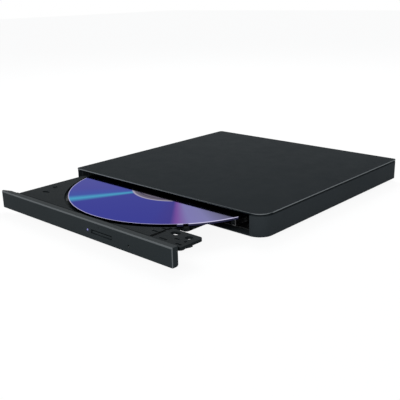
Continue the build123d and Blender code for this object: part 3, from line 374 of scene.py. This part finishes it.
# %% Lamp and lens
lamp_rod = finish("lamp_rod", (0.2, 0.19, 0.5), 0.25, 0.3)
lamp_shader = lamp_rod.node_tree.nodes["Principled BSDF"]
lamp_shader.inputs["Emission Color"].default_value = (0.45, 0.42, 0.9, 1.0)
lamp_shader.inputs["Emission Strength"].default_value = 0.06
finishes["lamp_lens"] = lamp_rod
lens_glass = finish("lens_glass", (0.75, 0.8, 0.95), 0.08)
lens_glass.node_tree.nodes["Principled BSDF"].inputs["Transmission Weight"].default_value = 0.8
finishes["lens_glass"] = lens_glass
print("finishes so far:", len(finishes))

# %% [markdown]
# The disc is a mirror under clear plastic, with a track so fine that it splits light into colours.
# Those colours are a painted reflection here: streaks fixed on the disc that run from the middle
# to the rim. So the disc needs two measures of a place on it: the angle round the middle, and the
# distance from it.

# %% Disc: angle and distance
hub_low, hub_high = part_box("turntable")
disc_middle = (hub_low + hub_high) / 2
disc_radius = 0.06
disc_film = bpy.data.materials.new("mirror_disc")
disc_film.use_nodes = True
tree = disc_film.node_tree
offset = tree.nodes.new("ShaderNodeVectorMath")
offset.operation = "SUBTRACT"
offset.inputs[1].default_value = (disc_middle.x, disc_middle.y, 0.0)
tree.links.new(place_of(tree), offset.inputs[0])
parts = tree.nodes.new("ShaderNodeSeparateXYZ")
tree.links.new(offset.outputs[0], parts.inputs[0])
angle = tree.nodes.new("ShaderNodeMath")
angle.operation = "ARCTAN2"
tree.links.new(parts.outputs["Y"], angle.inputs[0])
tree.links.new(parts.outputs["X"], angle.inputs[1])
turn_share = number_range(tree, angle.outputs[0], 0.0, 1.0, -math.pi, math.pi)
flat = tree.nodes.new("ShaderNodeCombineXYZ")
tree.links.new(parts.outputs["X"], flat.inputs["X"])
tree.links.new(parts.outputs["Y"], flat.inputs["Y"])
length = tree.nodes.new("ShaderNodeVectorMath")
length.operation = "LENGTH"
tree.links.new(flat.outputs[0], length.inputs[0])
distance = length.outputs["Value"]
radius_share = number_range(tree, distance, 0.0, 1.0, 0.0, disc_radius)
print("disc middle in mm:", [round(1000 * c, 2) for c in disc_middle[:2]])

# %% [markdown]
# Round the disc the colour is a violet-blue field with a painted reflection on it: one cyan
# streak, and a magenta edge that turns to pale lavender and then to grey. A second, fainter
# painted cyan streak lies opposite. Angles are counted from the right side of the drive, and minus
# means towards the front.

# %% Disc: colours round the middle
def at_angle(degrees):
    return (degrees + 180.0) / 360.0


cyan_angle, magenta_angle, faint_angle = -121, -46, 64
field, left_blue, magenta = (0.045, 0.054, 0.33), (0.08, 0.09, 0.36), (0.24, 0.09, 0.36)
cyan, faint_cyan = (0.07, 0.5, 0.68), (0.07, 0.3, 0.5)
# The cyan, magenta, lavender and grey streaks in this ramp are a painted reflection, fixed at
# these angles.
painted_streaks = ramp(tree, turn_share, [
    (0.0, left_blue), (at_angle(-140), (0.075, 0.08, 0.37)),
    (at_angle(-127), (0.05, 0.10, 0.42)), (at_angle(cyan_angle), cyan),
    (at_angle(-115), field), (at_angle(-60), (0.05, 0.055, 0.31)),
    (at_angle(-49), (0.06, 0.05, 0.27)), (at_angle(magenta_angle), magenta),
    (at_angle(-40), (0.27, 0.25, 0.5)), (at_angle(-31), (0.27, 0.26, 0.47)),
    (at_angle(-21), (0.16, 0.155, 0.2)), (at_angle(-10), (0.08, 0.075, 0.13)),
    (at_angle(60), (0.06, 0.065, 0.3)), (at_angle(faint_angle), faint_cyan),
    (at_angle(68), field), (1.0, left_blue),
])
print("cyan streaks at", cyan_angle, "and", faint_angle, "degrees, magenta at", magenta_angle)

# %% [markdown]
# From the middle outwards come the clear plastic with its moulded rings and one bright ring that
# is a painted highlight, the recorded mirror and the thin bright rim, a painted highlight where
# the clear plastic shows its edge. Only the uppermost part of the edge gets that painted
# highlight, and the rest of the side is painted dark as shade. The mirror's tint at a glancing
# view is held back, or the white room would wash out the blue.

# %% Disc: rings and mirror
# The bright ring near 0.408 of the radius is a painted highlight; the other stops are the clear
# plastic's own tone and its moulded rings.
hub_tone_and_highlight = ramp(tree, radius_share, [
    (0.0, (0.04, 0.033, 0.028)), (0.30, (0.1, 0.085, 0.068)), (0.345, (0.2, 0.17, 0.14)),
    (0.355, (0.02, 0.018, 0.018)), (0.365, (0.16, 0.135, 0.115)), (0.395, (0.2, 0.17, 0.155)),
    (0.408, (0.6, 0.56, 0.6)), (0.43, (0.3, 0.28, 0.5)),
])
is_recorded = number_range(tree, distance, 0.0, 1.0, 0.0248, 0.0254)
rim_highlight_share = number_range(tree, distance, 0.0, 1.0, 0.0595, 0.0597)
is_top = number_range(tree, parts.outputs["Z"], 0.0, 1.0, 0.0113, 0.0115)
# The rim colour is a painted highlight on the top of the edge; the side colour is painted shade on
# the rest of the side.
rim_painted_highlight, side_painted_shade = (0.66, 0.63, 0.86), (0.02, 0.02, 0.05)
tone = mixed(tree, is_recorded, hub_tone_and_highlight, painted_streaks)
tone = mixed(tree, rim_highlight_share, tone, rim_painted_highlight)
tone = mixed(tree, is_top, side_painted_shade, tone)
shader = tree.nodes["Principled BSDF"]
tree.links.new(tone, shader.inputs["Base Color"])
shader.inputs["Metallic"].default_value = 1.0
shader.inputs["Specular Tint"].default_value = (0.5, 0.5, 0.66, 1.0)
shader.inputs["Roughness"].default_value = 0.07
finishes["disc"] = disc_film
print("finishes in all:", len(finishes))

# %% [markdown]
# A moulded plastic piece is mostly a flat outline with rounded corners, raised to a height. These
# helpers draw the outlines. Everything is in millimetres and becomes metres when it is raised.

# %% Helpers for outlines
def rounded(corners, steps=6):
    """Outline from (x, y, radius) corners; a corner with a radius has to be a right angle."""
    outline = []
    for index, (x, y, radius) in enumerate(corners):
        before = Vector(corners[index - 1][:2])
        after = Vector(corners[(index + 1) % len(corners)][:2])
        corner = Vector((x, y))
        to_before, to_after = (before - corner).normalized(), (after - corner).normalized()
        if radius == 0:
            outline.append(corner)
            continue
        middle = corner + radius * (to_before + to_after)
        for step in range(steps + 1):
            swing = math.pi / 2 * step / steps
            outline.append(
                middle - radius * (to_after * math.cos(swing) + to_before * math.sin(swing)))
    return outline


def circle(x, y, radius, steps=32):
    angles = [math.tau * n / steps for n in range(steps)]
    return [Vector((x + radius * math.cos(a), y + radius * math.sin(a))) for a in angles]


print("a circle of radius 1 has", len(circle(0, 0, 1)), "points")

# %% [markdown]
# Raising an outline gives a block. It stands upright, or lies along the drive's width or depth,
# where the outline is its side view or its front view. A plain box is the shortest case.

# %% Helpers for blocks
def solid(name, outline, low, high, along="z"):
    """Block with this outline between two heights, along z, or lying along x or y."""
    place = {
        "z": lambda p, h: (p[0], p[1], h), "y": lambda p, h: (p[0], h, p[1]),
        "x": lambda p, h: (h, p[0], p[1]),
    }[along]
    count = len(outline)
    points = [Vector(place(p, height)) / 1000 for height in (low, high) for p in outline]
    sides = [(n, (n + 1) % count, count + (n + 1) % count, count + n) for n in range(count)]
    caps = [tuple(reversed(range(count))), tuple(range(count, 2 * count))]
    mesh = bpy.data.meshes.new(name)
    mesh.from_pydata(points, [], sides + caps)
    shape = bmesh.new()
    shape.from_mesh(mesh)
    bmesh.ops.recalc_face_normals(shape, faces=shape.faces)
    shape.to_mesh(mesh)
    shape.free()
    made = bpy.data.objects.new(name, mesh)
    scene.collection.objects.link(made)
    return made


def box_of(x_range, y_range, z_range):
    (x0, x1), (y0, y1) = x_range, y_range
    corners = [Vector((x0, y0)), Vector((x1, y0)), Vector((x1, y1)), Vector((x0, y1))]
    return solid("block", corners, *z_range)


print("block helpers ready")

# %% [markdown]
# A mould is cut and filled, and the model is made the same way: blocks are joined to a piece, cut
# from it, or only what they share is kept. A piece can also start as a copy of a CAD piece.

# %% Helpers for joining and cutting
def combine(piece, others, way):
    """Joins other solids to a piece, cuts them from it, or keeps what they share."""
    for other in others:
        step = piece.modifiers.new("combine", "BOOLEAN")
        step.operation = way
        step.solver = "EXACT"
        step.object = other
        bpy.context.view_layer.update()
        shown = piece.evaluated_get(bpy.context.evaluated_depsgraph_get())
        new_mesh = bpy.data.meshes.new_from_object(shown)
        piece.modifiers.remove(step)
        piece.data = new_mesh
        bpy.data.objects.remove(other)
    return piece


def copy_of(node, name):
    """Modelled piece that starts from a CAD node, with its doubled corner points joined."""
    shape = bmesh.new()
    shape.from_mesh(nodes[node].data)
    bmesh.ops.remove_doubles(shape, verts=shape.verts, dist=0.000002)
    mesh = bpy.data.meshes.new(name)
    shape.to_mesh(mesh)
    shape.free()
    made = bpy.data.objects.new(name, mesh)
    scene.collection.objects.link(made)
    return made


print("joining and cutting ready")

# %% [markdown]
# Depths are counted from the front of the drawn-out tray, as a maker measures them. The front of
# the panel is where they start.

# %% Depths
panel_low, panel_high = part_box("bezel")
tray_front = 1000 * panel_low.y


def depth(value):
    return tray_front + value


print("tray front lies at y =", round(tray_front, 2), "mm")

# %% [markdown]
# The tray is one large moulding. Its left half, the well and the ribs below are right in the CAD
# model, so the piece starts from there. The photograph shows more on the right side: the body is
# cut back to a shallow wall, and a notch separates it from the ear. So the first step clears the
# room of the ear and the notch and trims the body.

# %% Tray: cut the right side back
plate_top, ear_bottom, body_bottom, well_floor = 11.0, 9.6, 8.7, 9.5
tray_low = 1000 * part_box("tray")[0]
above, below = 12, tray_low.z - 1
notch_side, notch_front, notch_back = 44.5, 5.6, 24.8
ear_front, ear_back, ear_end, ear_corner = 5.2, 20.2, 63.6, 2.0
body_side, body_back, well_radius = 48.5, 53.5, 62.1
disc_x, disc_y = 1000 * disc_middle.x, 1000 * disc_middle.y
past_ear = ear_end + 1
body_depths = (depth(notch_back - 1), depth(body_back))


def well_block():
    return solid("well", circle(disc_x, disc_y, well_radius, 160), well_floor, 13)


tray_piece = copy_of("tray", "tray_moulding")
combine(tray_piece, [
    box_of((notch_side, past_ear), (depth(notch_front), depth(notch_back)), (below, above)),
    box_of((body_side, past_ear), body_depths, (below, above)),
    box_of((notch_side, past_ear), body_depths, (below, body_bottom)),
    box_of((ear_end - 1.6, past_ear), (depth(3), depth(6)), (below, above)),
    well_block(),
], "DIFFERENCE")
print("trimmed tray has", len(tray_piece.data.polygons), "faces")

# %% [markdown]
# The ear is a thicker plate with two openings through which the table shines, and a few narrow
# slots. The nose is the rounded front corner of the body behind the notch.

# %% Tray: ear and nose
ear_plate = solid("ear", rounded([
    (notch_side - 2, depth(ear_front), 0), (ear_end, depth(ear_front), 0),
    (ear_end, depth(ear_back), ear_corner), (notch_side, depth(ear_back), 0),
    (notch_side - 2, depth(ear_back), 0),
]), ear_bottom, plate_top)
nose_corner, nose_length = 2.6, 4
nose = solid("nose", rounded([
    (notch_side - 2, depth(notch_back), 0), (body_side, depth(notch_back), nose_corner),
    (body_side, depth(notch_back + nose_length), 0),
    (notch_side - 2, depth(notch_back + nose_length), 0),
]), body_bottom, plate_top)
combine(nose, [well_block()], "DIFFERENCE")


def ear_opening(x, from_front, length, width):
    y = depth(from_front)
    corner = 0.45 * min(length, width)
    return solid("opening", rounded([
        (x - length / 2, y - width / 2, corner), (x + length / 2, y - width / 2, corner),
        (x + length / 2, y + width / 2, corner), (x - length / 2, y + width / 2, corner),
    ], 4), ear_bottom - 1, plate_top + 1)


combine(ear_plate, [
    ear_opening(49.7, 16.4, 5.0, 3.6), ear_opening(58.5, 16.0, 3.8, 3.6),
    ear_opening(60.2, 7.6, 3.6, 1.1), ear_opening(50.2, 8.0, 5.0, 1.0),
    ear_opening(55.2, 11.8, 3.2, 1.1), ear_opening(60.6, 11.6, 1.5, 1.5),
], "DIFFERENCE")
combine(tray_piece, [ear_plate, nose], "UNION")
print("tray moulding has", len(tray_piece.data.polygons), "faces")

# %% [markdown]
# The front panel is a thin moulded shell. Three outlines shape it, much as the halves of a mould
# do: the plan with its slant at the left back, the side view with the soft upper edge, and the
# front view with the rounded lower corner. What all three share is the panel. The last two reach
# out by a hair, so that no two faces of the blocks lie in one plane.

# %% Front panel: outside
hair = 0.002
panel_left, panel_right = 1000 * panel_low.x, 1000 * panel_high.x
panel_bottom, panel_top = 1000 * panel_low.z, 1000 * panel_high.z
panel_depth, slant_width, slant_start = 3.5, 5.1, 1.6
left_round, right_round, top_round, back_round, low_round = 1.5, 0.5, 0.9, 1.1, 1.2
panel_piece = solid("front_panel", rounded([
    (panel_left, depth(0), left_round), (panel_right, depth(0), right_round),
    (panel_right, depth(panel_depth), 0), (panel_left + slant_width, depth(panel_depth), 0),
    (panel_left, depth(slant_start), 0),
]), panel_bottom - 1, panel_top + 1)
side_view = solid("side_view", rounded([
    (depth(-hair), panel_bottom, 0), (depth(panel_depth + hair), panel_bottom, back_round),
    (depth(panel_depth + hair), panel_top, 0), (depth(-hair), panel_top, top_round),
]), panel_left - 1, panel_right + 1, "x")
front_view = solid("front_view", rounded([
    (panel_left - hair, panel_bottom - hair, low_round),
    (panel_right + hair, panel_bottom - hair, 0),
    (panel_right + hair, panel_top + hair, 0), (panel_left - hair, panel_top + hair, 0),
]), depth(-1), depth(6), "y")
combine(panel_piece, [side_view, front_view], "INTERSECT")
print("panel is", round(panel_right - panel_left, 2), "mm wide and", panel_depth, "mm deep")

# %% [markdown]
# The panel is hollowed from behind, with three hooks left that hold it in the tray's front wall.
# Then it gets the slot for the button, a small notch above it, the round hole for a pin and the
# one for the lamp. The tray gives way behind it, since this panel is a little deeper.

# %% Front panel: hollow and openings
panel_skin, hook_half = 1.4, 3
hook_middles, hook_heights = (-46.0, -22.0, 48.0), (9.0, 9.8)
hollow_width, hollow_heights = (-64.8, 61.3), (4.13, 11.15)
slot_width, slot_heights = (8.4, 23.9), (6.0, 8.1)
mark_width, mark_heights = (13.9, 14.9), (9.8, 10.25)
combine(panel_piece, [
    box_of(hollow_width, (depth(panel_skin), depth(6)), hollow_heights),
], "DIFFERENCE")
combine(panel_piece, [
    box_of((x - hook_half, x + hook_half), (depth(1), depth(5.6)), hook_heights)
    for x in hook_middles
], "UNION")
combine(panel_piece, [
    box_of(slot_width, (depth(-1), depth(2)), slot_heights),
    box_of(mark_width, (depth(-1), depth(0.3)), mark_heights),
    solid("pin_hole", circle(35.6, 6.02, 0.72), depth(-1), depth(2), "y"),
    solid("lamp_hole", circle(5.85, 7.3, 0.53), depth(-1), depth(2), "y"),
], "DIFFERENCE")
combine(tray_piece, [
    box_of((panel_left - 1, panel_right + 1), (depth(-1), depth(panel_depth + 0.05)), (0, 14)),
], "DIFFERENCE")
print("panel has", len(panel_piece.data.polygons), "faces")

# %% [markdown]
# The button is a low bar that sits a little behind the face of the panel, so that its slot keeps
# a dark line above and to the right. A wider rim behind the skin keeps it from falling out.

# %% Eject button
bar_width, bar_heights, bar_round = (8.55, 22.8), (6.05, 7.15), 0.3
button_piece = solid("button_bar", rounded([
    (bar_width[0], bar_heights[0], bar_round), (bar_width[1], bar_heights[0], bar_round),
    (bar_width[1], bar_heights[1], bar_round), (bar_width[0], bar_heights[1], bar_round),
], 3), depth(0.7), depth(1.7), "y")
combine(button_piece, [box_of((7.9, 24.3), (depth(1.6), depth(2.1)), (5.4, 8.6))], "UNION")
print("button bar is", round(bar_width[1] - bar_width[0], 2), "mm wide")

# %% [markdown]
# The latch lever is a small nylon arm on a pin. It lies close under the ear, where the photograph
# shows nothing below the plate, and only its tip reaches down to the post. The tray's pin is cut
# off just below it. Points on the lever are given from its pivot, across it and along it, and then
# turned to where it stands when released.

# %% Latch lever
pivot_x, pivot_depth, released = 60.5, 8.0, math.radians(25)
hub_radius, bore_radius = 2.2, 1.06
hook_tip, hook_width = 5.9, 1.6


def on_lever(x, y):
    return Vector((
        pivot_x + x * math.cos(released) + y * math.sin(released),
        depth(pivot_depth) - x * math.sin(released) + y * math.cos(released),
    ))


def round_pivot(name, radius, low, high):
    return solid(name, circle(pivot_x, depth(pivot_depth), radius), low, high)


hook_end = hook_tip - hook_width
lever_piece = solid("latch_arm", [on_lever(*point) for point in (
    (-1.0, 0), (1.6, 0), (0.4, hook_tip), (-4.3, hook_tip), (-3.7, hook_end),
    (-1.4, hook_end), (-1.4, 2.0),
)], 8.8, 9.5)
tip = solid("tip", [on_lever(*point) for point in (
    (-1.9, hook_tip), (-4.3, hook_tip), (-3.7, hook_end), (-1.9, hook_end),
)], 7.6, 8.9)
combine(lever_piece, [tip, round_pivot("hub", hub_radius, 8.7, 9.55)], "UNION")
combine(lever_piece, [round_pivot("bore", bore_radius, 5, 12)], "DIFFERENCE")
pin_end = box_of((58, 63), (depth(5.5), depth(10.5)), (3, 8.5))
combine(tray_piece, [pin_end], "DIFFERENCE")
print("lever faces:", len(lever_piece.data.polygons))

# %% [markdown]
# Three corners of the housing are rounded by 3 mm here. The fourth, at the front right, has 8 mm
# in the CAD model already. A block with a hollow side takes each small corner off.

# %% Corners of the housing
small_corner, large_corner = 3.0, 8.0
case_low, case_high = (1000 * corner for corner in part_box("base_case"))


def corner_block(x, y, into_x, into_y, steps=10):
    """Block that rounds an upright corner; into_x and into_y say which way the piece lies."""
    middle = Vector((x + into_x * small_corner, y + into_y * small_corner))
    swings = [math.pi / 2 * n / steps for n in range(steps + 1)]
    arc = [
        middle - small_corner * Vector((into_x * math.cos(swing), into_y * math.sin(swing)))
        for swing in swings
    ]
    outside = [
        Vector((middle.x, y - into_y)), Vector((x - into_x, y - into_y)),
        Vector((x - into_x, middle.y)),
    ]
    return solid("corner", arc + outside, 0, 16)


housing = {}
for node in ("base_case", "top_cover"):
    housing[node] = combine(copy_of(node, "housing_" + node), [
        corner_block(case_low.x, case_low.y, 1, 1), corner_block(case_low.x, case_high.y, 1, -1),
        corner_block(case_high.x, case_high.y, -1, -1),
    ], "DIFFERENCE")
print("housing pieces:", {node: len(piece.data.polygons) for node, piece in housing.items()})

# %% [markdown]
# Base and cover meet in a seam. On such housings it is a shallow step all round, which hides that
# the two mouldings never meet perfectly. A ring half a millimetre deep is cut from both.

# %% Seam of the housing
seam_depth, seam_heights = 0.5, (12.7, 13.4)


def housing_plan(inside):
    low_x, high_x = case_low.x + inside, case_high.x - inside
    low_y, high_y = case_low.y + inside, case_high.y - inside
    return rounded([
        (low_x, low_y, small_corner - inside), (high_x, low_y, large_corner - inside),
        (high_x, high_y, small_corner - inside), (low_x, high_y, small_corner - inside),
    ], 12)


for piece in housing.values():
    ring = solid("seam_ring", housing_plan(-1.0), *seam_heights)
    combine(ring, [solid("seam_core", housing_plan(seam_depth), 12, 14)], "DIFFERENCE")
    combine(piece, [ring], "DIFFERENCE")
print("seam is", round(seam_heights[1] - seam_heights[0], 2), "mm high")

# %% [markdown]
# Each CAD piece now gets the finish that its own record names, and so does each modelled piece
# that stands in its place. A modelled piece rides on the same body as the CAD piece did.

# %% Dress all the pieces
slot_of = {row["node"]: row["material_slot"] for row in frame["record"]["subparts"]}
for name, piece in nodes.items():
    if not piece.material_slots:
        piece.data.materials.append(None)
    for place in piece.material_slots:
        place.material = finishes[slot_of[name]]
for piece, node, body in (
    (tray_piece, "tray", "tray"), (panel_piece, "bezel", "tray"),
    (button_piece, "eject_button", "eject_button"), (lever_piece, "latch_lever", "latch"),
    (housing["base_case"], "base_case", "case"), (housing["top_cover"], "top_cover", "case"),
):
    piece.data.materials.clear()
    piece.data.materials.append(finishes[slot_of[node]])
    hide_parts(node)
    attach(piece, body)
print("dressed:", len(nodes), "pieces with", len(set(slot_of.values())), "finishes")
